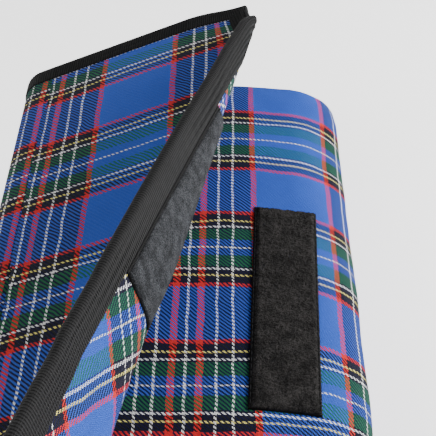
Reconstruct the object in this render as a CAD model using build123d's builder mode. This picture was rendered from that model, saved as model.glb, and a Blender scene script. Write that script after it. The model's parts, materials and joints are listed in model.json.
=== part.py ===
"""Folded tartan rug with a bound cover flap that closes on a strip of loop tape.

The origin is at the centre of the underside. X runs across the bundle, from the cover spine at
the left to the loop strip at the right. Y runs along the folded length, and Z is up.
"""
import os
from math import cos, radians, sin, tan

from build123d import *

os.makedirs("parts", exist_ok=True)

# Folded bundle
BUNDLE_WIDTH = 120.0
BUNDLE_LENGTH = 272.0
BUNDLE_BOTTOM = 3.4
BUNDLE_TOP = 65.3
CROWN_START_X = 17.0
CROWN_END_X = 42.0
CROWN_DROP = 2.7
SHOULDER_X = 56.0
SHOULDER_Z = 54.0
ROLL_Z = 44.0
NOTCH_X = 58.0
NOTCH_Z = 37.0
LOWER_ROLL_Z = 30.0
LEFT_FOLD_RADIUS = 16.0
BOTTOM_RIGHT_RADIUS = 12.0
CROWN_RADIUS = 8.0
SOFT_TURN_RADIUS = 4.0
NOTCH_RADIUS = 2.0
WRAP_FACE = 1.2
WRAP_BACKING = 0.8

# Folds inside the wrap
PLY_COUNT = 10
PLY_FACE = 0.9
PLY_WADDING = 3.5
PLY_BACKING = 0.55
PLY_GAP = 0.55
FOLDS_BOTTOM = 5.8
LEFT_TURN_X = -51.5
RIGHT_TURNS_X = (39.5, 51.0, 51.0, 51.5, 48.0)
FREE_END_X = -42.0
CROWN_PAD = 2.3
CROWN_PAD_LEFT_X = -44.0

# Hook and loop tapes
TAPE_WIDTH = 25.0
TAPE_LENGTH = 100.0
TAPE_BASE = 0.5
TAPE_PILE = 1.2
SELVAGE = 2.5
STRIP_SKEW = -2.2
STITCH_LENGTH = 2.2
STITCH_PITCH = 3.3
STITCH_WIDTH = 0.4
STITCH_HEIGHT = 0.2

# Cover panels
LINING = 0.8
WADDING = 1.6
OUTER = 0.8
PANEL = LINING + WADDING + OUTER
BINDING_WIDTH = 10.0
BINDING_PROUD = 0.5
HINGE_GAP = 1.0
SPINE_HINGE_X = -61.0
SPINE_HINGE_Z = 4.2
SPINE_HEIGHT = 64.75
SPINE_LEAN = 19.9
FLAP_REACH = 113.5
FLAP_RISE = 22.8

# Curl of the free end about creases that meet at the far corner
CREASE_ANGLES = (15.0, 12.53, 10.06)
CREASE_BEND = 29.2
CREASE_GAP = 0.3
CREASE_START = 40.0
TIP_START = 8.0
CORNER_BLOCK = 6.0
OVERRUN = 5.0

HALF_LENGTH = BUNDLE_LENGTH / 2
HALF_WIDTH = BUNDLE_WIDTH / 2


def save(builder, name):
    """Label a finished piece and write it as its own STEP file."""
    builder.part.label = name
    export_step(builder.part, f"parts/{name}.step")


# ---------------------------------------------------------------- outer wrap of the bundle
WRAP_OUTLINE = (
    (-HALF_WIDTH, BUNDLE_BOTTOM),
    (-HALF_WIDTH, BUNDLE_TOP),
    (CROWN_START_X, BUNDLE_TOP),
    (CROWN_END_X, BUNDLE_TOP - CROWN_DROP),
    (SHOULDER_X, SHOULDER_Z),
    (HALF_WIDTH, ROLL_Z),
    (NOTCH_X, NOTCH_Z),
    (HALF_WIDTH, LOWER_ROLL_Z),
    (HALF_WIDTH, BUNDLE_BOTTOM),
)
WRAP_RADII = (
    LEFT_FOLD_RADIUS,
    LEFT_FOLD_RADIUS,
    CROWN_RADIUS,
    CROWN_RADIUS,
    SOFT_TURN_RADIUS,
    SOFT_TURN_RADIUS,
    NOTCH_RADIUS,
    SOFT_TURN_RADIUS,
    BOTTOM_RIGHT_RADIUS,
)


def wrap_ring(outer_inset, inner_inset):
    """A tube that follows the bundle's outline between two depths under its surface."""
    with BuildPart() as ring:
        with BuildSketch(Plane.XZ):
            with BuildLine():
                FilletPolyline(*WRAP_OUTLINE, radius=WRAP_RADII, close=True)
            make_face()
            if outer_inset > 0:
                offset(amount=-outer_inset, kind=Kind.ARC, mode=Mode.REPLACE)
            offset(amount=outer_inset - inner_inset, kind=Kind.ARC, mode=Mode.SUBTRACT)
        extrude(amount=HALF_LENGTH, both=True)
    return ring


outer_wrap_tartan = wrap_ring(0, WRAP_FACE)
save(outer_wrap_tartan, "outer_wrap_tartan")

outer_wrap_backing = wrap_ring(WRAP_FACE, WRAP_FACE + WRAP_BACKING)
save(outer_wrap_backing, "outer_wrap_backing")

# ---------------------------------------------------------------- folds inside the wrap
PLY = PLY_FACE + PLY_WADDING + PLY_BACKING
PLY_PITCH = PLY + PLY_GAP
FOLDS_TOP = FOLDS_BOTTOM + PLY_COUNT * PLY_PITCH - PLY_GAP


def fold_ribbon(from_face, to_face):
    """One layer of the zigzag cloth, between two depths measured from its tartan face."""
    with BuildPart() as ribbon:
        with BuildSketch(Plane.XZ):
            for ply in range(PLY_COUNT):
                face_up = ply % 2 == 0
                top = FOLDS_TOP - ply * PLY_PITCH
                high = top - from_face if face_up else top - PLY + to_face
                right_x = RIGHT_TURNS_X[ply // 2]
                starts_free = ply in (0, PLY_COUNT - 1)
                left_x = FREE_END_X if starts_free else LEFT_TURN_X
                with Locations(((left_x + right_x) / 2, high - (to_face - from_face) / 2)):
                    Rectangle(right_x - left_x, to_face - from_face)
            for ply in range(PLY_COUNT - 1):
                turns_right = ply % 2 == 0
                centre_z = FOLDS_TOP - ply * PLY_PITCH - PLY - PLY_GAP / 2
                outer_radius = PLY_GAP / 2 + PLY
                if turns_right:
                    centre_x = RIGHT_TURNS_X[ply // 2]
                    big = outer_radius - from_face
                    start = -90
                else:
                    centre_x = LEFT_TURN_X
                    big = PLY_GAP / 2 + to_face
                    start = 90
                small = big - (to_face - from_face)
                with BuildLine():
                    CenterArc((centre_x, centre_z), big, start, 180)
                    CenterArc((centre_x, centre_z), small, start, 180)
                    Line((centre_x, centre_z + small), (centre_x, centre_z + big))
                    Line((centre_x, centre_z - small), (centre_x, centre_z - big))
                make_face()
        extrude(amount=HALF_LENGTH, both=True)
    return ribbon


folded_rug_tartan = fold_ribbon(0, PLY_FACE)
save(folded_rug_tartan, "folded_rug_tartan")

folded_rug_wadding = fold_ribbon(PLY_FACE, PLY_FACE + PLY_WADDING)
save(folded_rug_wadding, "folded_rug_wadding")

folded_rug_backing = fold_ribbon(PLY_FACE + PLY_WADDING, PLY)
save(folded_rug_backing, "folded_rug_backing")

BINDING_CLEARANCE = 0.05  # left of the gap's half, so that neighbouring bound edges do not touch
EDGE_BINDING = PLY_GAP / 2 - BINDING_CLEARANCE
with BuildPart() as rug_edge_bindings:
    for ply in (0, PLY_COUNT - 1):
        ply_middle = FOLDS_TOP - ply * PLY_PITCH - PLY / 2
        with BuildSketch(Plane.XZ):
            with Locations((FREE_END_X + (BINDING_WIDTH - EDGE_BINDING) / 2, ply_middle)):
                Rectangle(BINDING_WIDTH + EDGE_BINDING, PLY + 2 * EDGE_BINDING)
            with Locations((FREE_END_X + BINDING_WIDTH / 2, ply_middle)):
                Rectangle(BINDING_WIDTH, PLY, mode=Mode.SUBTRACT)
        extrude(amount=HALF_LENGTH, both=True)
save(rug_edge_bindings, "rug_edge_bindings")

with BuildPart() as crown_pad:
    with BuildSketch(Plane.XZ):
        with Locations(((CROWN_PAD_LEFT_X + CROWN_START_X) / 2, FOLDS_TOP + PLY_GAP + CROWN_PAD / 2)):
            Rectangle(CROWN_START_X - CROWN_PAD_LEFT_X, CROWN_PAD)
    extrude(amount=HALF_LENGTH, both=True)
save(crown_pad, "crown_pad")

# ---------------------------------------------------------------- loop strip on the crown
STRIP_CENTRE = Vector((CROWN_START_X + CROWN_END_X) / 2, 0, BUNDLE_TOP - CROWN_DROP / 2)
STRIP_UP = Vector(CROWN_DROP, 0, CROWN_END_X - CROWN_START_X)
STRIP_ACROSS = Vector(CROWN_END_X - CROWN_START_X, 0, -CROWN_DROP)
STRIP_PLANE = Plane(
    origin=STRIP_CENTRE,
    x_dir=STRIP_ACROSS.rotate(Axis(STRIP_CENTRE, STRIP_UP), STRIP_SKEW),
    z_dir=STRIP_UP,
)

with BuildPart() as loop_strip_tape:
    with BuildSketch(STRIP_PLANE):
        Rectangle(TAPE_WIDTH, TAPE_LENGTH)
    extrude(amount=TAPE_BASE)
save(loop_strip_tape, "loop_strip_tape")

with BuildPart() as loop_strip_pile:
    with BuildSketch(STRIP_PLANE.offset(TAPE_BASE)):
        Rectangle(TAPE_WIDTH - 2 * SELVAGE, TAPE_LENGTH)
    extrude(amount=TAPE_PILE)
save(loop_strip_pile, "loop_strip_pile")

STITCHES_PER_ROW = int(TAPE_LENGTH / STITCH_PITCH) - 1
with BuildPart() as loop_strip_stitches:
    with BuildSketch(STRIP_PLANE.offset(TAPE_BASE)):
        with GridLocations(TAPE_WIDTH - SELVAGE, STITCH_PITCH, 2, STITCHES_PER_ROW):
            Rectangle(STITCH_WIDTH, STITCH_LENGTH)
    extrude(amount=STITCH_HEIGHT)
save(loop_strip_stitches, "loop_strip_stitches")


# ---------------------------------------------------------------- cover panels
def layer(plane, low, high, outline, region):
    """A flat layer of a panel between two heights, kept inside a region of its plane."""
    with BuildPart() as slab:
        with BuildSketch(plane.offset(low)):
            Polygon(*outline, align=None)
            Polygon(*region, align=None, mode=Mode.INTERSECT)
        extrude(amount=high - low)
    return slab


def box_outline(left, right, near, far):
    """The four corners of a rectangle in a panel's plane."""
    return ((left, near), (right, near), (right, far), (left, far))


def binding(plane, outline, inner, outset, region):
    """Folded edge tape: a band on each face of the panel and a wall round its edge."""
    with BuildPart() as tape:
        for low in (0, -PANEL - BINDING_PROUD):
            with BuildSketch(plane.offset(low)):
                Polygon(*outset, align=None)
                Polygon(*inner, align=None, mode=Mode.SUBTRACT)
                Polygon(*region, align=None, mode=Mode.INTERSECT)
            extrude(amount=BINDING_PROUD)
        with BuildSketch(plane.offset(-PANEL)):
            Polygon(*outset, align=None)
            Polygon(*outline, align=None, mode=Mode.SUBTRACT)
            Polygon(*region, align=None, mode=Mode.INTERSECT)
        extrude(amount=PANEL)
    return tape


def make_panel(name, plane, outline, region):
    """Outer cloth, wadding and lining of one stretch of the cover. The plane is its outer face."""
    outer = layer(plane, -OUTER, 0, outline, region)
    save(outer, f"{name}_outer_tartan")
    wadding = layer(plane, -OUTER - WADDING, -OUTER, outline, region)
    save(wadding, f"{name}_wadding")
    lining = layer(plane, -PANEL, -OUTER - WADDING, outline, region)
    save(lining, f"{name}_lining")


BASE_PLANE = Plane(origin=(0, 0, 0), x_dir=(-1, 0, 0), z_dir=(0, 0, -1))
BASE_OUTLINE = box_outline(-HALF_WIDTH, HALF_WIDTH, -HALF_LENGTH, HALF_LENGTH)
make_panel("cover_base", BASE_PLANE, BASE_OUTLINE, BASE_OUTLINE)

LEAN = radians(SPINE_LEAN)
SPINE_UP = Vector(-sin(LEAN), 0, cos(LEAN))
SPINE_OUT = Vector(-cos(LEAN), 0, -sin(LEAN))
SPINE_HINGE = Vector(SPINE_HINGE_X, 0, SPINE_HINGE_Z)
SHOULDER = SPINE_HINGE + SPINE_UP * SPINE_HEIGHT
SPINE_PLANE = Plane(origin=SPINE_HINGE + SPINE_OUT * PANEL, x_dir=SPINE_UP, z_dir=SPINE_OUT)
SPINE_OUTLINE = box_outline(HINGE_GAP, SPINE_HEIGHT - HINGE_GAP, -HALF_LENGTH, HALF_LENGTH)
SPINE_OUTSET = box_outline(
    HINGE_GAP, SPINE_HEIGHT - HINGE_GAP, -HALF_LENGTH - BINDING_PROUD, HALF_LENGTH + BINDING_PROUD
)
SPINE_INNER = box_outline(
    0, SPINE_HEIGHT, -HALF_LENGTH + BINDING_WIDTH, HALF_LENGTH - BINDING_WIDTH
)
make_panel("cover_spine", SPINE_PLANE, SPINE_OUTLINE, SPINE_OUTSET)
spine_bindings = binding(SPINE_PLANE, SPINE_OUTLINE, SPINE_INNER, SPINE_OUTSET, SPINE_OUTSET)
save(spine_bindings, "cover_spine_bindings")

# ---------------------------------------------------------------- flap and its curled free end
RISE = radians(FLAP_RISE)
FLAP_ALONG = Vector(cos(RISE), 0, sin(RISE))
FLAP_UP = Vector(-sin(RISE), 0, cos(RISE))
FAR_CORNER = SHOULDER + FLAP_ALONG * FLAP_REACH + FLAP_UP * PANEL + Vector(0, HALF_LENGTH, 0)

FLAP_OUTLINE = box_outline(-FLAP_REACH, 0, -BUNDLE_LENGTH, 0)
FLAP_OUTSET = box_outline(-FLAP_REACH, BINDING_PROUD, -BUNDLE_LENGTH - BINDING_PROUD, BINDING_PROUD)
FLAP_INNER = box_outline(
    -FLAP_REACH - OVERRUN, -BINDING_WIDTH, -BUNDLE_LENGTH + BINDING_WIDTH, -BINDING_WIDTH
)
TAPE_FAR = -(BUNDLE_LENGTH - TAPE_LENGTH) / 2
TAPE_OUTLINE = box_outline(
    -BINDING_WIDTH - TAPE_WIDTH, -BINDING_WIDTH, TAPE_FAR - TAPE_LENGTH, TAPE_FAR
)
HOOKS_OUTLINE = box_outline(
    -BINDING_WIDTH - TAPE_WIDTH + SELVAGE, -BINDING_WIDTH - SELVAGE, TAPE_FAR - TAPE_LENGTH, TAPE_FAR
)
NEAR_END = -BUNDLE_LENGTH - OVERRUN


def crease_x(angle, along):
    """Where a crease lies across the flat flap, at a distance from the far edge."""
    return along * tan(radians(angle))


def curled_plane(crease_count):
    """The flap's outer face after it has turned about the first creases."""
    x_dir = FLAP_ALONG
    z_dir = FLAP_UP
    for angle in reversed(CREASE_ANGLES[:crease_count]):
        slant = radians(angle)
        crease = FLAP_ALONG * -sin(slant) + Vector(0, -cos(slant), 0)
        x_dir = x_dir.rotate(Axis(FAR_CORNER, crease), CREASE_BEND)
        z_dir = z_dir.rotate(Axis(FAR_CORNER, crease), CREASE_BEND)
    return Plane(origin=FAR_CORNER, x_dir=x_dir, z_dir=z_dir)


def wedge(left_angle, right_angle, start):
    """The region between two creases, from a distance below the far corner to the near end."""
    return (
        (crease_x(left_angle, -start) + CREASE_GAP, -start),
        (crease_x(right_angle, -start) - CREASE_GAP, -start),
        (crease_x(right_angle, NEAR_END) - CREASE_GAP, NEAR_END),
        (crease_x(left_angle, NEAR_END) + CREASE_GAP, NEAR_END),
    )


FLAP_REGION = (
    (-FLAP_REACH + HINGE_GAP, OVERRUN),
    (OVERRUN, OVERRUN),
    (OVERRUN, -CORNER_BLOCK),
    (crease_x(CREASE_ANGLES[0], -CORNER_BLOCK) - CREASE_GAP, -CORNER_BLOCK),
    (crease_x(CREASE_ANGLES[0], NEAR_END) - CREASE_GAP, NEAR_END),
    (-FLAP_REACH + HINGE_GAP, NEAR_END),
)
TIP_REGION = (
    (crease_x(CREASE_ANGLES[2], -TIP_START) + CREASE_GAP, -TIP_START),
    (OVERRUN, -TIP_START),
    (OVERRUN, NEAR_END),
    (crease_x(CREASE_ANGLES[2], NEAR_END) + CREASE_GAP, NEAR_END),
)
STRETCHES = (
    ("flap", FLAP_REGION),
    ("flap_curl_1", wedge(CREASE_ANGLES[0], CREASE_ANGLES[1], CREASE_START)),
    ("flap_curl_2", wedge(CREASE_ANGLES[1], CREASE_ANGLES[2], CREASE_START)),
    ("flap_tip", TIP_REGION),
)
for crease_count, (stretch_name, stretch_region) in enumerate(STRETCHES):
    stretch_plane = curled_plane(crease_count)
    make_panel(stretch_name, stretch_plane, FLAP_OUTLINE, stretch_region)
    edge_tape = binding(stretch_plane, FLAP_OUTLINE, FLAP_INNER, FLAP_OUTSET, stretch_region)
    save(edge_tape, f"{stretch_name}_binding")
    tape_top = -PANEL
    hook_tape = layer(stretch_plane, tape_top - TAPE_BASE, tape_top, TAPE_OUTLINE, stretch_region)
    save(hook_tape, f"{stretch_name}_hook_tape")
    hooks_top = tape_top - TAPE_BASE
    hooks = layer(stretch_plane, hooks_top - TAPE_PILE, hooks_top, HOOKS_OUTLINE, stretch_region)
    save(hooks, f"{stretch_name}_hooks")
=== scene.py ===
"""Looks of the folded tartan rug: cloth, bindings, tapes, folded layers, light and camera."""
import json
import math

import bmesh
import bpy
import numpy as np
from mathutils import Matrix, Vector, noise


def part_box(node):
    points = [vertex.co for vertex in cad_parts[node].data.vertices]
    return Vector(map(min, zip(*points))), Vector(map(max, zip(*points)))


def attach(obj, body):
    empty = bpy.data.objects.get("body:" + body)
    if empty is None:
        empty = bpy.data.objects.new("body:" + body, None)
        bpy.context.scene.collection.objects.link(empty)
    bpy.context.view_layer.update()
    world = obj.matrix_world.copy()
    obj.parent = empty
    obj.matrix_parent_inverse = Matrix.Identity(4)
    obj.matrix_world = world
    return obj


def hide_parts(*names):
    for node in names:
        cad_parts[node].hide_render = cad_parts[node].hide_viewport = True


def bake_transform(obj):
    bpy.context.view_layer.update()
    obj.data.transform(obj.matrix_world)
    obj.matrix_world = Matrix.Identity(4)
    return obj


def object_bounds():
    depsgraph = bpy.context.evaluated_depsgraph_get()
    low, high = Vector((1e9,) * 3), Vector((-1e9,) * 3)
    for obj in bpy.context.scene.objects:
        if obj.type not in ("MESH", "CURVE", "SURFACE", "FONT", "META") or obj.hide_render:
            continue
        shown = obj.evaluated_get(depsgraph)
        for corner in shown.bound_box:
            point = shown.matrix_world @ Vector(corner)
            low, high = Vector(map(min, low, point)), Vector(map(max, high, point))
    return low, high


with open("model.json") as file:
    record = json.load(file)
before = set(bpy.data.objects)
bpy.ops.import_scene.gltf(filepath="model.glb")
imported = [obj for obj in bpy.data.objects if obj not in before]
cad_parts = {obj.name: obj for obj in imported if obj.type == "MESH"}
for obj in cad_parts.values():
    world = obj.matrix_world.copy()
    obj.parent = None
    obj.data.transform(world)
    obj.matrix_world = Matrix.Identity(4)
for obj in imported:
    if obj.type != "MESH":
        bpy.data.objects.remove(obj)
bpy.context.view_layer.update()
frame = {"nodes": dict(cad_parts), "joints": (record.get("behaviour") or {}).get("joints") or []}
MM = 0.001

# ---------------------------------------------------------------- camera, floor and light
CAMERA_AT = (0.0071, -0.260, 0.3468)
CAMERA_PITCH = math.radians(42.83)
CAMERA_YAW = math.radians(0.51)
CAMERA_LENS = 85.96
SENSOR = 36.0


def add_camera():
    data = bpy.data.cameras.new("camera")
    data.lens = CAMERA_LENS
    data.sensor_width = SENSOR
    data.clip_start = 0.01
    camera = bpy.data.objects.new("camera", data)
    bpy.context.scene.collection.objects.link(camera)
    camera.location = CAMERA_AT
    camera.rotation_euler = (math.pi / 2 - CAMERA_PITCH, 0, CAMERA_YAW)
    bpy.context.scene.camera = camera


def add_area_light(name, place, target, size, watts):
    data = bpy.data.lights.new(name, "AREA")
    data.size = size
    data.energy = watts
    lamp = bpy.data.objects.new(name, data)
    bpy.context.scene.collection.objects.link(lamp)
    lamp.location = place
    aim = Vector(target) - Vector(place)
    lamp.rotation_euler = aim.to_track_quat("-Z", "Y").to_euler()


def add_stage():
    bpy.ops.mesh.primitive_plane_add(size=30, location=(0, 0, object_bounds()[0][2] - 0.0002))
    floor = bpy.context.object
    floor.name = "floor"
    paint = bpy.data.materials.new("floor_paper")
    paint.use_nodes = True
    shader = paint.node_tree.nodes["Principled BSDF"]
    shader.inputs["Base Color"].default_value = (0.95, 0.95, 0.95, 1)
    shader.inputs["Roughness"].default_value = 0.9
    shader.inputs["Emission Color"].default_value = (1, 1, 1, 1)
    shader.inputs["Emission Strength"].default_value = 1.3
    floor.data.materials.append(paint)
    world = bpy.data.worlds.new("studio")
    world.use_nodes = True
    world.node_tree.nodes["Background"].inputs[0].default_value = (1, 1, 1, 1)
    world.node_tree.nodes["Background"].inputs[1].default_value = 0.4
    bpy.context.scene.world = world


add_camera()
add_stage()
add_area_light("key", (0.78, 0.22, 0.5), (0, 0, 0.05), 0.4, 15)
add_area_light("fill", (-0.6, -0.5, 0.9), (0, 0, 0.08), 0.6, 5)

# ---------------------------------------------------------------- sizes shared with the frame
JOINTS = {joint["name"]: joint for joint in frame["joints"]}
SPINE_AXIS = np.array(JOINTS["spine_hinge"]["pos_m"], float) / MM
SHOULDER_AXIS = np.array(JOINTS["shoulder_hinge"]["pos_m"], float) / MM
FAR_CORNER = np.array(JOINTS["curl_1"]["pos_m"], float) / MM
LENGTH = (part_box("outer_wrap_tartan")[1].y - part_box("outer_wrap_tartan")[0].y) / MM
HALF_LENGTH = LENGTH / 2
HALF_WIDTH = (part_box("outer_wrap_tartan")[1].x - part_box("outer_wrap_tartan")[0].x) / MM / 2
BUNDLE_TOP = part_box("outer_wrap_tartan")[1].z / MM
PANEL = 3.2
BINDING = 10.0
TAPE_WIDTH = 25.0
TAPE_LENGTH = 100.0
TAPE_FAR = -(LENGTH - TAPE_LENGTH) / 2
CREASES = [math.radians(angle) for angle in (15.0, 12.53, 10.06)]
CREASE_BEND = math.radians(29.2)
CREASE_HALF = math.radians(2.4)

to_corner = FAR_CORNER - SHOULDER_AXIS
FLAP_REACH = math.sqrt(to_corner[0] ** 2 + to_corner[2] ** 2 - PANEL ** 2)
RISE = math.atan2(to_corner[2], to_corner[0]) - math.atan2(PANEL, FLAP_REACH)
ALONG = np.array([math.cos(RISE), 0, math.sin(RISE)])
UP = np.array([-math.sin(RISE), 0, math.cos(RISE)])
FAR = np.array([0, 1.0, 0])


# ---------------------------------------------------------------- mesh helpers
def mesh_object(name, points, faces, uvs=None, slots=None, materials=(), smooth=True):
    """A mesh from points in millimetres, with a cloth map in millimetres and a slot for each face."""
    data = bpy.data.meshes.new(name)
    data.from_pydata([tuple(p) for p in (np.asarray(points, float) * MM)], [], faces)
    for material in materials:
        data.materials.append(material)
    if slots is not None:
        data.polygons.foreach_set("material_index", slots)
    if uvs is not None:
        layer = data.uv_layers.new(name="cloth")
        loops = np.zeros(len(data.loops), int)
        data.loops.foreach_get("vertex_index", loops)
        layer.data.foreach_set("uv", np.asarray(uvs, float)[loops].ravel())
    data.polygons.foreach_set("use_smooth", [smooth] * len(data.polygons))
    data.update()
    shell = bmesh.new()
    shell.from_mesh(data)
    bmesh.ops.recalc_face_normals(shell, faces=shell.faces)
    shell.to_mesh(data)
    shell.free()
    obj = bpy.data.objects.new(name, data)
    bpy.context.scene.collection.objects.link(obj)
    return obj


def grid_faces(rows, columns, wrap_columns=False, wrap_rows=False):
    """Quads of a grid of points numbered row by row."""
    quads = []
    for i in range(rows if wrap_rows else rows - 1):
        for j in range(columns if wrap_columns else columns - 1):
            a = i * columns + j
            b = i * columns + (j + 1) % columns
            c = ((i + 1) % rows) * columns + (j + 1) % columns
            d = ((i + 1) % rows) * columns + j
            quads.append((a, b, c, d))
    return quads


def smoothstep(low, high, value):
    t = np.clip((value - low) / (high - low), 0, 1)
    return t * t * (3 - 2 * t)


# ---------------------------------------------------------------- how the flap curls
def cone_table():
    """Directions of the curled flap's rulings from the far corner, over the angle from its free end."""
    step = math.radians(0.05)
    angle = CREASES[0] + CREASE_HALF
    ruling = -math.sin(angle) * ALONG - math.cos(angle) * FAR
    across = math.cos(angle) * ALONG - math.sin(angle) * FAR
    normal = UP.copy()
    angles, rulings, normals = [angle], [ruling], [normal]
    while angle > math.radians(-12):
        middle = angle - step / 2
        bend = 0
        for crease in CREASES:
            high = smoothstep(-CREASE_HALF, CREASE_HALF, crease - middle + step / 2)
            low = smoothstep(-CREASE_HALF, CREASE_HALF, crease - middle - step / 2)
            bend += CREASE_BEND * (high - low)
        ruling, across = (
            ruling * math.cos(step) + across * math.sin(step),
            across * math.cos(step) - ruling * math.sin(step),
        )
        across, normal = (
            across * math.cos(bend) + normal * math.sin(bend),
            normal * math.cos(bend) - across * math.sin(bend),
        )
        angle -= step
        angles.append(angle)
        rulings.append(ruling)
        normals.append(normal)
    return np.array(angles)[::-1], np.array(rulings)[::-1], np.array(normals)[::-1]


CONE_ANGLES, CONE_RULINGS, CONE_NORMALS = cone_table()
# Lean of the standing free edge, and its dip towards the spine, by distance from the far edge.
EDGE_LEAN = ((0, 80, 120, 160, 195, 225, 250, 272), (0, 0, -0.6, -1.2, -1.2, 0, 3, 6))
EDGE_DIP = ((0, 60, 110, 160, 200, 235, 272), (0, 0, 2, 4.5, 6, 5, 1))
EDGE_DIP_WIDTH = 45
CORNER_WIDTH = 34
CORNER_BACK = 6.0
CORNER_NEAR = 4.0
CORNER_DROP = 1.0
RIPPLE = 0.5
CREASE_PROBE = 230.0
CREASE_PROBE_ANGLE = 0.004


def place_on_flap(flat):
    """Points of the flat flap (across, along, height over its outer face) put where it rests."""
    flat = np.asarray(flat, float)
    u, v, w = flat[:, 0], flat[:, 1], flat[:, 2]
    ripple = RIPPLE * np.sin(v / 31.0 + u / 47.0) * np.sin(u / 26.0 + 0.6)
    corner = smoothstep(-CORNER_WIDTH, 2, u) * smoothstep(-CORNER_WIDTH, 2, v)
    w = w + ripple * smoothstep(0, 30, -v)
    v = v - CORNER_NEAR * corner
    dip = np.interp(-v, EDGE_DIP[0], EDGE_DIP[1]) * smoothstep(-EDGE_DIP_WIDTH, 0, u)
    u = u - CORNER_BACK * corner - dip
    reach = np.hypot(u, v)
    angle = np.arctan2(-u, -v)
    level = FAR_CORNER + np.outer(u, ALONG) + np.outer(v, FAR) + np.outer(w, UP)
    inside = np.clip(angle, CONE_ANGLES[0], CONE_ANGLES[-1])
    ruling = np.stack([np.interp(inside, CONE_ANGLES, CONE_RULINGS[:, k]) for k in range(3)], 1)
    normal = np.stack([np.interp(inside, CONE_ANGLES, CONE_NORMALS[:, k]) for k in range(3)], 1)
    curled = FAR_CORNER + ruling * reach[:, None] + normal * w[:, None]
    lean = np.interp(-v, EDGE_LEAN[0], EDGE_LEAN[1])
    curled[:, 0] += lean * (1 - smoothstep(math.radians(4), math.radians(16), angle))
    use_level = angle >= CONE_ANGLES[-1]
    return np.where(use_level[:, None], level, curled) - np.outer(CORNER_DROP * corner, UP)


def crease_frame(index):
    """A point on a crease near the front, and the direction across it, in the resting curl."""
    angle = CREASES[index]
    spots = []
    for shift in (-CREASE_PROBE_ANGLE, CREASE_PROBE_ANGLE):
        a = angle - shift
        flat = (-math.sin(a) * CREASE_PROBE, -math.cos(a) * CREASE_PROBE, 0)
        spots.append(place_on_flap([flat])[0])
    across = spots[1] - spots[0]
    return (spots[0] + spots[1]) / 2, across / np.linalg.norm(across)


CUT_ANGLES = ((CREASES[0] + CREASES[1]) / 2, (CREASES[1] + CREASES[2]) / 2)


def split_on_flap(name, flat_points, faces, uvs, slots, materials, replaced, declare=None):
    """Cuts a flat piece of the flap along the middles of the curl and curls each cut."""
    flat = mesh_object(name + "_flat", np.asarray(flat_points) , faces, uvs, slots, materials)
    made = []
    for part in range(3):
        piece_mesh = flat.data.copy()
        work = bmesh.new()
        work.from_mesh(piece_mesh)
        for cut, angle in enumerate(CUT_ANGLES):
            if part not in (cut, cut + 1):
                continue
            keep_left = part == cut
            across = Vector((math.cos(angle), -math.sin(angle), 0))
            bmesh.ops.bisect_plane(
                work,
                geom=work.verts[:] + work.edges[:] + work.faces[:],
                plane_co=(0, 0, 0),
                plane_no=across,
                clear_outer=keep_left,
                clear_inner=not keep_left,
            )
        if not work.faces:
            work.free()
            continue
        bmesh.ops.holes_fill(work, edges=[e for e in work.edges if e.is_boundary], sides=0)
        work.to_mesh(piece_mesh)
        work.free()
        co = np.zeros(len(piece_mesh.vertices) * 3)
        piece_mesh.vertices.foreach_get("co", co)
        placed = place_on_flap(co.reshape(-1, 3) / MM) * MM
        piece_mesh.vertices.foreach_set("co", placed.ravel())
        piece_mesh.update()
        suffix = ("", "_curl", "_tip")[part]
        piece = bpy.data.objects.new(name + suffix, piece_mesh)
        bpy.context.scene.collection.objects.link(piece)
        spot, direction = crease_frame(part)
        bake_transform(piece)
        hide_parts(*[node for node in replaced.get(part, ()) if node in frame["nodes"]])
        if declare:
            declare(piece)
        made.append(piece)
    bpy.data.objects.remove(flat)
    return made


def slab(left, right, near, far, low, high, step, bump=None):
    """A flat slab as a closed shell: points, faces, cloth map and side (0 top, 1 under, 2 edge)."""
    columns = max(2, int(round((right - left) / step)) + 1)
    rows = max(2, int(round((far - near) / step)) + 1)
    us = np.linspace(left, right, columns)
    vs = np.linspace(near, far, rows)
    grid_u, grid_v = np.meshgrid(us, vs)
    top = np.stack([grid_u.ravel(), grid_v.ravel(), np.full(grid_u.size, float(high))], 1)
    under = np.stack([grid_u.ravel(), grid_v.ravel(), np.full(grid_u.size, float(low))], 1)
    if bump is not None:
        top, under = bump(top, under)
    points = np.vstack([top, under])
    count = len(top)
    faces = list(grid_faces(rows, columns))
    sides = [0] * len(faces)
    lower = [(d + count, c + count, b + count, a + count) for a, b, c, d in faces]
    faces += lower
    sides += [1] * len(lower)
    ring = [j for j in range(columns)]
    ring += [i * columns + columns - 1 for i in range(1, rows)]
    ring += [(rows - 1) * columns + j for j in range(columns - 2, -1, -1)]
    ring += [i * columns for i in range(rows - 2, 0, -1)]
    for k, a in enumerate(ring):
        b = ring[(k + 1) % len(ring)]
        faces.append((a, a + count, b + count, b))
        sides.append(2)
    return points, faces, points[:, :2].copy(), sides


# ---------------------------------------------------------------- materials
def linear(red, green, blue):
    """Screen colour from 0 to 255 as linear light."""
    values = []
    for value in (red, green, blue):
        value = value / 255
        values.append(value / 12.92 if value <= 0.04045 else ((value + 0.055) / 1.055) ** 2.4)
    return (*values, 1.0)


BLUE = linear(46, 88, 192)
NAVY = linear(6, 8, 52)
RED = linear(214, 40, 40)
WHITE = linear(240, 240, 240)
YELLOW = linear(240, 226, 120)
GREEN = linear(16, 100, 62)
BLACK = linear(8, 8, 12)

WARP_PERIOD = 83.0
WARP_HALF = ((0.5, WHITE), (3.5, NAVY), (5.9, RED), (10.35, NAVY), (11.25, WHITE), (16.05, NAVY),
             (16.95, WHITE), (23.8, NAVY), (26.2, RED), (41.5, BLUE))
WEFT_PERIOD = 67.0
WEFT_HALF = ((0.45, WHITE), (4.4, BLUE), (10.3, GREEN), (11.15, BLACK), (12.05, WHITE), (14.55, BLACK),
             (15.45, YELLOW), (18.9, BLACK), (20.9, RED), (33.5, BLUE))
THREAD = 0.45


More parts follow.
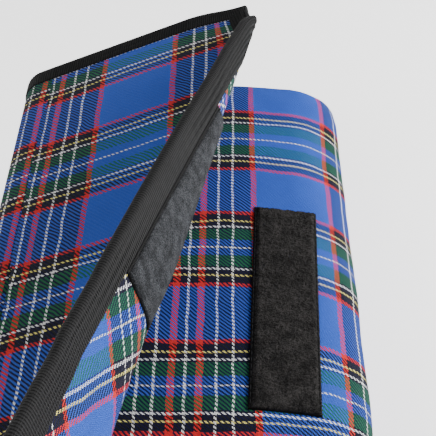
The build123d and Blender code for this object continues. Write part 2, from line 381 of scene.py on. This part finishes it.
class Graph:
    """Short calls for building a material's node tree."""

    def __init__(self, name):
        self.material = bpy.data.materials.new(name)
        self.material.use_nodes = True
        self.tree = self.material.node_tree
        self.shader = self.tree.nodes["Principled BSDF"]

    def node(self, kind, **settings):
        made = self.tree.nodes.new(kind)
        for key, value in settings.items():
            setattr(made, key, value)
        return made

    def link(self, source, target):
        self.tree.links.new(source, target)

    def math(self, operation, first, second=None, third=None):
        made = self.node("ShaderNodeMath", operation=operation)
        for socket, value in zip(made.inputs, (first, second, third)):
            if value is None:
                continue
            if isinstance(value, (int, float)):
                socket.default_value = value
            else:
                self.link(value, socket)
        return made.outputs[0]

    def mix(self, factor, first, second, blend="MIX"):
        made = self.node("ShaderNodeMix", data_type="RGBA", blend_type=blend)
        for index, value in ((0, factor), (6, first), (7, second)):
            if isinstance(value, (int, float, tuple)):
                made.inputs[index].default_value = value
            else:
                self.link(value, made.inputs[index])
        return made.outputs[2]

    def cloth_position(self, turn=0.0, shift=(0.0, 0.0), scale=(1.0, 1.0)):
        """The cloth map in millimetres, turned and shifted: position across and along the cloth."""
        source = self.node("ShaderNodeUVMap", uv_map="cloth")
        mapping = self.node("ShaderNodeMapping")
        mapping.inputs["Location"].default_value = (shift[0], shift[1], 0)
        mapping.inputs["Rotation"].default_value = (0, 0, turn)
        mapping.inputs["Scale"].default_value = (*scale, 1)
        self.link(source.outputs[0], mapping.inputs["Vector"])
        split = self.node("ShaderNodeSeparateXYZ")
        self.link(mapping.outputs[0], split.inputs[0])
        return split.outputs[0], split.outputs[1], mapping.outputs[0]

    def noise(self, vector, scale, detail=3.0):
        made = self.node("ShaderNodeTexNoise")
        made.inputs["Scale"].default_value = scale
        made.inputs["Detail"].default_value = detail
        self.link(vector, made.inputs["Vector"])
        return made.outputs["Fac"]

    def object_point(self):
        return self.node("ShaderNodeTexCoord").outputs["Object"]

    def bump(self, height, distance, strength=1.0):
        made = self.node("ShaderNodeBump")
        made.inputs["Distance"].default_value = distance
        made.inputs["Strength"].default_value = strength
        self.link(height, made.inputs["Height"])
        self.link(made.outputs[0], self.shader.inputs["Normal"])

    def stripes(self, position, period, half):
        """Colours of a mirrored stripe set, repeated over a period."""
        ramp = self.node("ShaderNodeValToRGB")
        ramp.color_ramp.interpolation = "CONSTANT"
        stops = []
        edge = -period / 2
        for (outer, colour), inner in zip(reversed(half), [h[0] for h in reversed(half[:-1])] + [0]):
            stops.append((edge, colour))
            edge = -inner
        low = half[0][0]
        for outer, colour in half[1:]:
            stops.append((low, colour))
            low = outer
        elements = ramp.color_ramp.elements
        for index, (at, colour) in enumerate(stops):
            spot = at / period + 0.5
            element = elements[index] if index < 2 else elements.new(spot)
            element.position = spot
            element.color = colour
        share = self.math("FRACT", self.math("ADD", self.math("DIVIDE", position, period), 0.5))
        self.link(share, ramp.inputs[0])
        return ramp.outputs[0]


def tartan(name, turn=0.0, shift=(0.0, 0.0), scale=(1.0, 1.0), warp_cover=0.5):
    """Twill-woven tartan: coloured warp and weft threads that cross over two and under two."""
    g = Graph(name)
    across, along, vector = g.cloth_position(turn, shift, scale)
    wobble = g.math("MULTIPLY", g.math("SUBTRACT", g.noise(vector, 0.09, 2.0), 0.5), 1.6)
    across = g.math("ADD", across, wobble)
    along = g.math("ADD", along, wobble)
    warp = g.stripes(across, WARP_PERIOD, WARP_HALF)
    weft = g.stripes(along, WEFT_PERIOD, WEFT_HALF)
    warp_number = g.math("DIVIDE", across, THREAD)
    weft_number = g.math("DIVIDE", along, THREAD)
    pair = g.math("ADD", g.math("FLOOR", warp_number), g.math("FLOOR", weft_number))
    phase = g.math("FRACT", g.math("DIVIDE", g.math("ADD", pair, 0.5), 4.0))
    warp_up = g.math("LESS_THAN", phase, warp_cover)
    colour = g.mix(warp_up, weft, warp)
    warp_round = g.math("SINE", g.math("MULTIPLY", g.math("FRACT", warp_number), math.pi))
    weft_round = g.math("SINE", g.math("MULTIPLY", g.math("FRACT", weft_number), math.pi))
    mixed = g.node("ShaderNodeMix", data_type="FLOAT")
    g.link(warp_up, mixed.inputs[0])
    g.link(weft_round, mixed.inputs[2])
    g.link(warp_round, mixed.inputs[3])
    roundness = mixed.outputs[0]
    # Painted shade: each thread is darkened towards its sides, where it rounds down between threads; fibres
    # and wash then add random tone.
    shade = g.math("ADD", g.math("MULTIPLY", roundness, 0.85), 0.34)
    fibres = g.math("ADD", g.math("MULTIPLY", g.noise(vector, 2.6, 4.0), 0.5), 0.75)
    wash = g.math("ADD", g.math("MULTIPLY", g.noise(vector, 0.035, 2.0), 0.24), 0.88)
    shade = g.math("MULTIPLY", g.math("MULTIPLY", shade, fibres), wash)
    grey = g.node("ShaderNodeCombineColor")
    for socket in grey.inputs[:3]:
        g.link(shade, socket)
    g.link(g.mix(1.0, colour, grey.outputs[0], "MULTIPLY"), g.shader.inputs["Base Color"])
    g.shader.inputs["Roughness"].default_value = 0.85
    g.shader.inputs["Sheen Weight"].default_value = 0.05
    g.shader.inputs["Sheen Roughness"].default_value = 0.5
    g.shader.inputs["Specular IOR Level"].default_value = 0.12
    g.bump(g.math("ADD", roundness, g.math("MULTIPLY", fibres, 0.3)), 0.00018)
    return g.material


def ribbed_tape(name, pitch, dark, light):
    """Black grosgrain: round ribs across the tape, with fine thread grain."""
    g = Graph(name)
    across, along, vector = g.cloth_position()
    rib = g.math("SINE", g.math("MULTIPLY", along, 2 * math.pi / pitch))
    rib = g.math("ADD", g.math("MULTIPLY", rib, 0.5), 0.5)
    thread = g.math("SINE", g.math("MULTIPLY", across, 2 * math.pi / 0.42))
    grain = g.noise(vector, 3.0, 3.0)
    height = g.math("ADD", rib, g.math("MULTIPLY", g.math("ADD", thread, 1.0), 0.1))
    speckle = g.math("ADD", g.math("MULTIPLY", grain, 0.9), 0.45)
    # Painted shade and highlight: rib crests are mixed towards the light colour and the grooves between
    # ribs stay dark, times random grain.
    share = g.math("MULTIPLY", g.math("POWER", rib, 1.5), speckle)
    g.link(g.mix(share, dark, light), g.shader.inputs["Base Color"])
    g.shader.inputs["Roughness"].default_value = 0.75
    g.shader.inputs["Specular IOR Level"].default_value = 0.2
    g.bump(height, 0.0003)
    return g.material


def fuzzy_tape(name, scale, dark, light, distance):
    """Hook or loop pile: tangled tufts, with painted highlights on the tuft tips and painted shade between
    them.
    """
    g = Graph(name)
    point = g.object_point()
    tufts = g.noise(point, scale, 6.0)
    fine = g.noise(point, scale * 3.1, 3.0)
    height = g.math("ADD", tufts, g.math("MULTIPLY", fine, 0.5))
    patch = g.math("ADD", g.math("MULTIPLY", g.noise(point, scale * 0.13, 2.0), 0.8), 0.6)
    # Painted highlight on the raised tuft tips and painted shade between the tufts, times a random patch
    # tone.
    share = g.math("POWER", g.math("MULTIPLY", g.math("MULTIPLY", height, patch), 1.05), 3.4)
    g.link(g.mix(share, dark, light), g.shader.inputs["Base Color"])
    g.shader.inputs["Roughness"].default_value = 0.9
    g.shader.inputs["Specular IOR Level"].default_value = 0.12
    g.bump(height, distance)
    return g.material


def plain_film(name, colour):
    """Thin waterproof film with a fine crushed grain."""
    g = Graph(name)
    point = g.object_point()
    crease = g.noise(point, 160, 4.0)
    mixed = g.mix(g.math("MULTIPLY", crease, 0.6), colour, linear(150, 155, 165))
    g.link(mixed, g.shader.inputs["Base Color"])
    g.shader.inputs["Roughness"].default_value = 0.5
    g.bump(crease, 0.0004)
    return g.material


OUTER_CLOTH = tartan("tartan_cloth_outer", shift=(11.9, 9.5), scale=(0.972, 0.955))
BUNDLE_CLOTH = tartan("tartan_cloth_bundle", shift=(6.9, -27.0), scale=(1.0, 1.0))
LINING_CLOTH = tartan("tartan_cloth_lining", turn=math.radians(60), shift=(20.0, 118.0))
# The last two colours of each ribbed or pile tape below are its painted shade and its painted highlight.
BINDING_CLOTH = ribbed_tape("edge_binding_ribbed", 1.15, linear(2, 2, 2), linear(36, 36, 37))
HOOKS = fuzzy_tape("hook_pile_black", 2000, linear(4, 4, 5), linear(74, 76, 80), 0.0005)
LOOPS = fuzzy_tape("loop_pile_black", 1700, linear(1, 1, 1), linear(58, 56, 55), 0.0006)
WOVEN_TAPE = ribbed_tape("tape_woven_black", 0.6, linear(3, 3, 3), linear(34, 34, 35))
THREAD_BLACK = ribbed_tape("thread_black", 0.3, linear(14, 14, 15), linear(60, 60, 62))
FILM = plain_film("waterproof_film", linear(70, 76, 92))


# ---------------------------------------------------------------- flap
FLAP_CLOTH_REACH = 100.0
CLOTH_INSET = 1.5
CLOTH_STEP = 3.2


def flap_cloth():
    points, faces, uvs, sides = slab(
        -FLAP_CLOTH_REACH, -CLOTH_INSET, -LENGTH + CLOTH_INSET, -CLOTH_INSET, -PANEL, 0, CLOTH_STEP
    )
    pieces = split_on_flap(
        "flap_cloth", points, faces, uvs, sides, (OUTER_CLOTH, LINING_CLOTH, OUTER_CLOTH),
        {
            0: ("flap_outer_tartan", "flap_wadding", "flap_lining"),
            1: ("flap_curl_1_outer_tartan", "flap_curl_1_wadding", "flap_curl_1_lining"),
            2: ("flap_curl_2_outer_tartan", "flap_curl_2_wadding", "flap_curl_2_lining",
                "flap_tip_outer_tartan", "flap_tip_wadding", "flap_tip_lining"),
        },
        declare=lambda piece: piece,
    )
    return pieces


BAND_SECTION = [
    (10.0, 0.08), (9.7, 0.42), (9.0, 0.5), (6.0, 0.52), (3.0, 0.5), (1.0, 0.35), (0.1, -0.1), (-0.4, -0.8),
    (-0.5, -1.6), (-0.4, -2.4), (0.1, -3.1), (1.0, -3.55), (3.0, -3.7), (6.0, -3.72), (9.0, -3.7),
    (9.7, -3.62), (10.0, -3.28), (9.0, -3.22), (0.6, -3.15), (0.25, -1.6), (0.6, -0.05), (9.0, 0.02),
]
RIB_PITCH = 1.15
RIB_STEPS = 4


def band_on_edge(name, run, locate, replaced, mitre_start=True, mitre_end=True):
    """Edge binding along one side: a folded tape section swept along the edge, ribbed across."""
    steps = int(run / RIB_PITCH * RIB_STEPS)
    points = []
    uvs = []
    for i in range(steps + 1):
        for j, (inset, height) in enumerate(BAND_SECTION):
            start = max(inset, 0) if mitre_start else 0
            end = run - (max(inset, 0) if mitre_end else 0)
            along = start + (end - start) * i / steps
            rib = 0.13 * math.cos(2 * math.pi * along / RIB_PITCH)
            swell = rib if 1 <= j <= 15 else 0
            lift = swell if height > -PANEL / 2 else -swell
            u, v = locate(inset, along)
            points.append((u, v, height + lift))
            uvs.append((inset if height > -PANEL / 2 else 20 - inset, along))
    count = len(BAND_SECTION)
    faces = grid_faces(steps + 1, count, wrap_columns=True)
    faces.append(tuple(range(count)))
    faces.append(tuple(reversed([steps * count + j for j in range(count)])))
    slots = [0] * len(faces)
    return split_on_flap(name, points, faces, uvs, slots, (BINDING_CLOTH,), replaced)


def flap_bindings():
    band_on_edge(
        "flap_far_binding", 100.0, lambda inset, along: (-along, -inset),
        {0: ("flap_binding",)}, mitre_start=True, mitre_end=False,
    )
    band_on_edge(
        "flap_near_binding", 100.0, lambda inset, along: (-along, -LENGTH + inset),
        {0: ("flap_binding",), 1: ("flap_curl_1_binding",), 2: ("flap_curl_2_binding", "flap_tip_binding")},
        mitre_start=True, mitre_end=False,
    )
    band_on_edge(
        "flap_end_binding", LENGTH, lambda inset, along: (-inset, -along),
        {0: ("flap_binding",), 2: ("flap_tip_binding",)},
    )


def flap_hook_tape():
    left, right = -BINDING - TAPE_WIDTH, -BINDING - 0.1
    near, far = TAPE_FAR - TAPE_LENGTH, TAPE_FAR
    base_top, base_low = -PANEL + 0.02, -PANEL - 0.55
    points, faces, uvs, sides = slab(left, right, near, far, base_low, base_top, 1.6)
    split_on_flap(
        "hook_tape", points, faces, uvs, [0] * len(faces), (WOVEN_TAPE,),
        {
            0: ("flap_hook_tape",),
            1: ("flap_curl_1_hook_tape",),
            2: ("flap_curl_2_hook_tape", "flap_tip_hook_tape"),
        },
    )

    def tufts(top, under):
        height = [noise.noise(Vector((p[0] * 1.3, p[1] * 1.3, 0))) * 0.3 for p in under]
        under = under.copy()
        edge = np.minimum.reduce([
            under[:, 0] - under[:, 0].min(), under[:, 0].max() - under[:, 0],
            under[:, 1] - under[:, 1].min(), under[:, 1].max() - under[:, 1],
        ])
        under[:, 2] += np.array(height) + 0.7 * (1 - smoothstep(0, 1.2, edge))
        return top, under

    points, faces, uvs, sides = slab(
        left + 1.6, right - 1.0, near + 0.3, far - 0.3, base_low - 0.95, base_low + 0.02, 0.6, bump=tufts
    )
    split_on_flap(
        "hook_pile", points, faces, uvs, [0] * len(faces), (HOOKS,),
        {0: ("flap_hooks",), 1: ("flap_curl_1_hooks",), 2: ("flap_curl_2_hooks", "flap_tip_hooks")},
    )


flap_cloth()
flap_bindings()
flap_hook_tape()


# ---------------------------------------------------------------- sheets swept along a path
def path_frames(path):
    """Unit normals, to the left of travel, of a path in the XZ plane."""
    path = np.asarray(path, float)
    tangent = np.gradient(path, axis=0)
    tangent /= np.linalg.norm(tangent, axis=1)[:, None]
    return np.stack([-tangent[:, 1], tangent[:, 0]], 1)


def arc_length(path):
    steps = np.linalg.norm(np.diff(np.asarray(path, float), axis=0), axis=1)
    return np.concatenate([[0], np.cumsum(steps)])


def swept_strip(name, path, ring, materials, ring_slots, uv_start=0.0, wobble=None, closed=False):
    """A closed ring of (offset, along) points carried along a path in XZ."""
    path = np.asarray(path, float)
    normals = path_frames(path)
    if closed:
        ahead = np.roll(path, -1, axis=0) - np.roll(path, 1, axis=0)
        ahead /= np.linalg.norm(ahead, axis=1)[:, None]
        normals = np.stack([-ahead[:, 1], ahead[:, 0]], 1)
    lengths = arc_length(path)
    points = []
    uvs = []
    for i, (spot, normal) in enumerate(zip(path, normals)):
        for offset, along in ring:
            shift = wobble(lengths[i], along, offset) if wobble else (0.0, 0.0)
            reach = offset + shift[0]
            points.append((spot[0] + normal[0] * reach, along + shift[1], spot[1] + normal[1] * reach))
            uvs.append((uv_start + lengths[i], along))
    rows, columns = len(path), len(ring)
    faces = grid_faces(rows, columns, wrap_columns=True, wrap_rows=closed)
    slots = [ring_slots[k % columns] for k in range(len(faces))]
    if not closed:
        faces.append(tuple(range(columns)))
        faces.append(tuple(reversed([(rows - 1) * columns + j for j in range(columns)])))
        slots += [ring_slots[0]] * 2
    swept = mesh_object(name, points, faces, uvs, slots, materials)
    if closed:
        total = lengths[-1] + np.linalg.norm(path[-1] - path[0])
        layer = swept.data.uv_layers["cloth"].data
        for polygon in list(swept.data.polygons)[(rows - 1) * columns:]:
            for loop in polygon.loop_indices:
                if swept.data.loops[loop].vertex_index < columns:
                    layer[loop].uv.x += total
    return swept


def flat_ring(high, low, near, far, spans, rounding=1.0):
    """A thin rectangle with rounded ends as a closed ring, with a slot for each of its sides."""
    alongs = np.linspace(near + rounding, far - rounding, spans + 1)
    ring = [(high, y) for y in alongs]
    slots = [0] * spans
    middle, half = (high + low) / 2, (high - low) / 2
    turns = 4
    for k in range(1, turns):
        angle = math.pi / 2 - math.pi * k / turns
        ring.append((middle + half * math.sin(angle), far - rounding + rounding * math.cos(angle)))
    slots += [2] * turns
    ring += [(low, y) for y in reversed(alongs)]
    slots += [1] * spans
    for k in range(1, turns):
        angle = -math.pi / 2 - math.pi * k / turns
        ring.append((middle + half * math.sin(angle), near + rounding + rounding * math.cos(angle)))
    slots += [2] * turns
    return ring, slots


def bezier(p0, p1, p2, p3, count):
    t = np.linspace(0, 1, count)[:, None]
    p0, p1, p2, p3 = (np.asarray(p, float) for p in (p0, p1, p2, p3))
    return (1 - t) ** 3 * p0 + 3 * (1 - t) ** 2 * t * p1 + 3 * (1 - t) * t ** 2 * p2 + t ** 3 * p3


# ---------------------------------------------------------------- cover base, spine and shoulder
SPINE_DIR = (SHOULDER_AXIS - SPINE_AXIS)[[0, 2]]
SPINE_RUN = float(np.linalg.norm(SPINE_DIR))
SPINE_DIR = SPINE_DIR / SPINE_RUN
SPINE_OUT = np.array([-SPINE_DIR[1], SPINE_DIR[0]])
FOOT = SPINE_AXIS[[0, 2]]
SHOULDER = SHOULDER_AXIS[[0, 2]]
FLAP_DIR = ALONG[[0, 2]]
FLAP_OUT = UP[[0, 2]]
BASE_MIDDLE_Z = PANEL / 2
HALF_PANEL = PANEL / 2
COVER_CUT = 32.0


def cover_path():
    """Middle line of the cover cloth from under the bundle, up the spine and over the shoulder."""
    base_end = np.array([-HALF_WIDTH + 3, BASE_MIDDLE_Z + 0.7])
    spine_low = FOOT + SPINE_DIR * 9 + SPINE_OUT * HALF_PANEL
    spine_high = FOOT + SPINE_DIR * (SPINE_RUN - 8) + SPINE_OUT * HALF_PANEL
    flap_low = SHOULDER + FLAP_DIR * 8 + FLAP_OUT * HALF_PANEL
    flap_end = SHOULDER + FLAP_DIR * (FLAP_REACH - 99.0) + FLAP_OUT * HALF_PANEL
    lower = bezier(base_end, base_end - (5, 0), spine_low - SPINE_DIR * 6, spine_low, 12)
    cut = FOOT + SPINE_DIR * COVER_CUT + SPINE_OUT * (HALF_PANEL + 0.5)
    rise = np.linspace(spine_low, cut, 8)[1:]
    top = np.linspace(cut, spine_high, 8)
    turn = bezier(spine_high, spine_high + SPINE_DIR * 6, flap_low - FLAP_DIR * 6, flap_low, 14)[1:]
    rest = np.linspace(flap_low, flap_end, 3)[1:]
    return np.vstack([lower, rise]), np.vstack([top, turn, rest])


def cover_pieces():
    lower, upper = cover_path()
    ring, slots = flat_ring(
        HALF_PANEL, -HALF_PANEL, -HALF_LENGTH + CLOTH_INSET, HALF_LENGTH - CLOTH_INSET, 60
    )
    upper_run = arc_length(upper)[-1]
    lower_run = arc_length(lower)[-1]
    cloth_end = -FLAP_REACH + (FLAP_REACH - 99.0)
    runs = (
        ("spine_cloth_lower", lower, cloth_end - upper_run - lower_run, "bundle", "cover_spine",
         (FOOT - (2.5, 2.0), FOOT + SPINE_DIR * 9)),
        ("spine_cloth_upper", upper, cloth_end - upper_run, "cover_spine", "flap",
         (SHOULDER - SPINE_DIR * 8, SHOULDER + FLAP_DIR * 8)),
    )
    for name, path, start_u, first, second, ends in runs:
        cloth = swept_strip(
            name, path, ring, (OUTER_CLOTH, LINING_CLOTH, OUTER_CLOTH), slots, uv_start=start_u,
        )
        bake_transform(cloth)
        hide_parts("cover_spine_outer_tartan", "cover_spine_wadding", "cover_spine_lining")
        for side, word in ((-1, "near"), (1, "far")):
            section = []
            for inset, height in BAND_SECTION:
                section.append((height + HALF_PANEL, side * (HALF_LENGTH - inset)))
            if side > 0:
                section.reverse()
            total = arc_length(path)[-1]
            count = int(total / RIB_PITCH * RIB_STEPS)
            spots = np.linspace(0, total, count + 1)
            lengths = arc_length(path)
            fine = np.stack([np.interp(spots, lengths, path[:, k]) for k in range(2)], 1)

            def ribs(length, along, offset):
                swell = 0.13 * math.cos(2 * math.pi * length / RIB_PITCH)
                if abs(offset) < HALF_PANEL + 0.2:
                    swell = 0.0
                return (swell if offset > 0 else -swell, 0.0)

            band = swept_strip(
                name.replace("cloth", word + "_binding"), fine, section, (BINDING_CLOTH,),
                [0] * len(section), wobble=ribs,
            )
            layer = band.data.uv_layers["cloth"]
            swapped = np.zeros(len(band.data.loops) * 2)
            layer.data.foreach_get("uv", swapped)
            layer.data.foreach_set("uv", swapped.reshape(-1, 2)[:, ::-1].ravel())
            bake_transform(band)
            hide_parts("cover_spine_bindings")


def cover_base():
    path = np.stack([np.linspace(HALF_WIDTH - 0.5, -HALF_WIDTH + 3, 60), np.full(60, BASE_MIDDLE_Z)], 1)
    ring, slots = flat_ring(HALF_PANEL, -HALF_PANEL, -HALF_LENGTH, HALF_LENGTH, 60)
    base = swept_strip(
        "cover_base_cloth", path, ring, (OUTER_CLOTH, LINING_CLOTH, OUTER_CLOTH), slots, uv_start=-300.0,
    )
    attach(base, "bundle")
    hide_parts("cover_base_outer_tartan", "cover_base_wadding", "cover_base_lining")


cover_pieces()
cover_base()


# ---------------------------------------------------------------- bundle
ROUND_PULL = 0.55


def rounded(outline, radii, steps=6):
    """A closed outline with each corner turned into an arc-like curve."""
    outline = [np.asarray(p, float) for p in outline]
    points = []
    for k, corner in enumerate(outline):
        before, after = outline[k - 1], outline[(k + 1) % len(outline)]
        to_before = (before - corner) / np.linalg.norm(before - corner)
        to_after = (after - corner) / np.linalg.norm(after - corner)
        reach = radii[k]
        first, last = corner + to_before * reach, corner + to_after * reach
        pull = reach * ROUND_PULL
        points.append(bezier(first, first - to_before * pull, last - to_after * pull, last, steps))
    return np.vstack(points)


def resampled(path, step, closed=True):
    path = np.asarray(path, float)
    if closed:
        path = np.vstack([path, path[:1]])
    lengths = arc_length(path)
    count = int(lengths[-1] / step)
    spots = np.linspace(0, lengths[-1], count + 1)
    if closed:
        spots = spots[:-1]
    return np.stack([np.interp(spots, lengths, path[:, k]) for k in range(2)], 1)


BUNDLE_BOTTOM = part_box("outer_wrap_tartan")[0].z / MM
WRAP_OUTLINE = (
    (-10.0, BUNDLE_TOP + 0.3), (-HALF_WIDTH, BUNDLE_TOP), (-HALF_WIDTH, BUNDLE_BOTTOM),
    (HALF_WIDTH, BUNDLE_BOTTOM), (HALF_WIDTH + 0.6, 30.0), (56.5, 37.0), (HALF_WIDTH + 0.6, 45.0),
    (56.0, 54.5), (42.0, 62.6), (17.0, BUNDLE_TOP + 0.2),
)
WRAP_REACH = (6.0, 20.0, 15.0, 12.0, 4.2, 3.2, 3.9, 5.0, 7.0, 7.0)
WRAP_THICKNESS = 2.0
WRAP_PROFILE = resampled(rounded(WRAP_OUTLINE, WRAP_REACH), 1.5)
top_index = int(np.argmin(np.hypot(WRAP_PROFILE[:, 0], WRAP_PROFILE[:, 1] - BUNDLE_TOP)))
WRAP_PROFILE = np.roll(WRAP_PROFILE, -top_index, axis=0)


def soft_surface(length, along, offset):
    """Shallow hollows and swells of the wrapped cloth, flatter where the loop strip is sewn on."""
    across_strip = smoothstep(8, 15, length) * (1 - smoothstep(45, 52, length))
    under_strip = across_strip * (1 - smoothstep(52, 62, abs(along)))
    swell = noise.noise(Vector((length * 0.030, along * 0.024, 3.1))) * 0.9
    small = noise.noise(Vector((length * 0.11, along * 0.09, 7.7))) * 0.25
    end = -0.8 * smoothstep(HALF_LENGTH - 13, HALF_LENGTH, abs(along))
    return ((swell + small) * (1 - under_strip) + end - 0.4, 0.0)


def bundle_wrap():
    ring, slots = flat_ring(0.0, -WRAP_THICKNESS, -HALF_LENGTH, HALF_LENGTH, 90, rounding=1.0)
    profile = np.roll(WRAP_PROFILE[::-1], 1, axis=0)
    under = int(np.argmin(np.hypot(profile[:, 0], profile[:, 1] - BUNDLE_BOTTOM)))
    before_top = arc_length(profile[under:])[-1] + np.linalg.norm(profile[-1] - profile[0])
    profile = np.roll(profile, -under, axis=0)

    def surface(length, along, offset):
        return soft_surface(length - before_top, along, offset)

    wrap = swept_strip(
        "bundle_wrap", profile, ring, (BUNDLE_CLOTH, FILM, BUNDLE_CLOTH), slots,
        uv_start=-before_top, wobble=surface, closed=True,
    )
    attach(wrap, "bundle")
    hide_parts("outer_wrap_tartan", "outer_wrap_backing")


# ---------------------------------------------------------------- folded rug inside the wrap
PLY_COUNT = 10
PLY_PITCH = 5.5
PLY_THICK = 4.6
TOP_PLY = 5.8 + PLY_PITCH * (PLY_COUNT - 1) + 4.95 / 2
LEFT_TURN = -51.5
RIGHT_TURNS = (39.5, 51.0, 51.0, 51.5, 48.0)
FREE_END = -42.0


def folded_rug():
    path = []
    for ply in range(PLY_COUNT):
        level = TOP_PLY - PLY_PITCH * ply
        rightward = ply % 2 == 0
        right = RIGHT_TURNS[ply // 2]
        left = FREE_END if ply in (0, PLY_COUNT - 1) else LEFT_TURN
        run = np.linspace(left, right, 40)
        if not rightward:
            run = run[::-1]
        path += [(x, level) for x in run]
        if ply < PLY_COUNT - 1:
            centre = right if rightward else LEFT_TURN
            side = 1 if rightward else -1
            for k in range(1, 9):
                angle = -math.pi / 2 + math.pi * k / 9
                radius = PLY_PITCH / 2
                turn_x = centre + side * radius * math.cos(angle)
                path.append((turn_x, level - radius - radius * math.sin(angle)))
    path = np.array(path)
    half = PLY_THICK / 2
    ring, slots = flat_ring(half, -half, -HALF_LENGTH + 1.0, HALF_LENGTH - 1.0, 60, rounding=2.0)

    def soft(length, along, offset):
        sag = noise.noise(Vector((length * 0.05, along * 0.03, 11.0))) * 0.16
        edge = noise.noise(Vector((length * 0.045, 0.0, 5.0))) * 1.6
        end = smoothstep(HALF_LENGTH - 25, HALF_LENGTH, abs(along))
        return (sag, edge * end * (1 if along > 0 else -1))

    cloths = (BUNDLE_CLOTH, FILM, BINDING_CLOTH)
    rug = swept_strip("folded_rug", path, ring, cloths, slots, uv_start=300.0, wobble=soft)
    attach(rug, "bundle")
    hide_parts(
        "folded_rug_tartan", "folded_rug_wadding", "folded_rug_backing", "crown_pad",
        "rug_edge_bindings",
    )


# ---------------------------------------------------------------- loop strip
STRIP_CENTRE = np.array([29.5, 0.0, 63.95])
FACET = np.array([25.0, 0.0, -2.7]) / math.hypot(25.0, 2.7)
STRIP_UP = np.array([-FACET[2], 0.0, FACET[0]])
STRIP_SKEW = math.radians(-2.2)
STRIP_ACROSS = FACET * math.cos(STRIP_SKEW) + FAR * math.sin(STRIP_SKEW)
STRIP_ALONG = FAR * math.cos(STRIP_SKEW) - FACET * math.sin(STRIP_SKEW)


def on_strip(flat):
    flat = np.asarray(flat, float)
    return (STRIP_CENTRE + np.outer(flat[:, 0], STRIP_ACROSS) + np.outer(flat[:, 1], STRIP_ALONG)
            + np.outer(flat[:, 2], STRIP_UP))


def strip_piece(name, flat, faces, uvs, material, node):
    piece = mesh_object(name, on_strip(flat), faces, uvs, [0] * len(faces), (material,))
    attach(piece, "bundle")
    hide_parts(node)


def loop_strip():
    half, reach = TAPE_WIDTH / 2, TAPE_LENGTH / 2

    def woven(top, under):
        top = top.copy()
        edge = np.minimum(half - abs(top[:, 0]), reach - abs(top[:, 1]))
        top[:, 2] += 0.06 * np.sin(top[:, 1] * 2 * math.pi / 1.6) - 0.35 * (1 - smoothstep(0, 0.8, edge))
        return top, under

    flat, faces, uvs, sides = slab(-half, half, -reach, reach, -0.7, 0.5, 0.4, bump=woven)
    strip_piece("loop_tape", flat, faces, uvs, WOVEN_TAPE, "loop_strip_tape")

    def fuzz(top, under):
        top = top.copy()
        lift = []
        for x, y in top[:, :2]:
            tuft = noise.noise(Vector((x * 0.8, y * 0.8, 2.0))) * 0.4
            fine = noise.noise(Vector((x * 2.6, y * 2.6, 9.0))) * 0.5
            lift.append(tuft + fine)
        edge = np.minimum(half - 1.0 - abs(top[:, 0]), reach - 0.3 - abs(top[:, 1]))
        top[:, 2] += np.array(lift) - 0.75 * (1 - smoothstep(0, 1.4, edge))
        return top, under

    flat, faces, uvs, sides = slab(
        -half + 1.0, half - 1.0, -reach + 0.3, reach - 0.3, 0.3, 1.5, 0.45, bump=fuzz
    )
    strip_piece("loop_pile", flat, faces, uvs, LOOPS, "loop_strip_pile")


STITCH_RUN = 3.0
STITCH = 2.2
STITCH_THICK = 0.22


def loop_stitches():
    flat = []
    faces = []
    half, reach = TAPE_WIDTH / 2 - 0.55, TAPE_LENGTH / 2 - 1.5
    for side in (-1, 1):
        for spot in np.arange(-reach, reach - STITCH, STITCH_RUN):
            first = len(flat)
            for step in range(5):
                share = step / 4
                rise = math.sin(math.pi * share)
                for turn in range(6):
                    angle = 2 * math.pi * turn / 6
                    thick = STITCH_THICK * (0.35 + 0.65 * rise)
                    flat.append((
                        side * half + thick * math.cos(angle),
                        spot + STITCH * share,
                        0.5 + 0.2 * rise + thick * math.sin(angle),
                    ))
            for face in grid_faces(5, 6, wrap_columns=True):
                faces.append(tuple(first + v for v in face))
            faces.append(tuple(first + v for v in range(6)))
            faces.append(tuple(first + v for v in reversed(range(24, 30))))
    uvs = [(p[1], p[0]) for p in flat]
    strip_piece("loop_stitches", flat, faces, uvs, THREAD_BLACK, "loop_strip_stitches")


bundle_wrap()
folded_rug()
loop_strip()
loop_stitches()
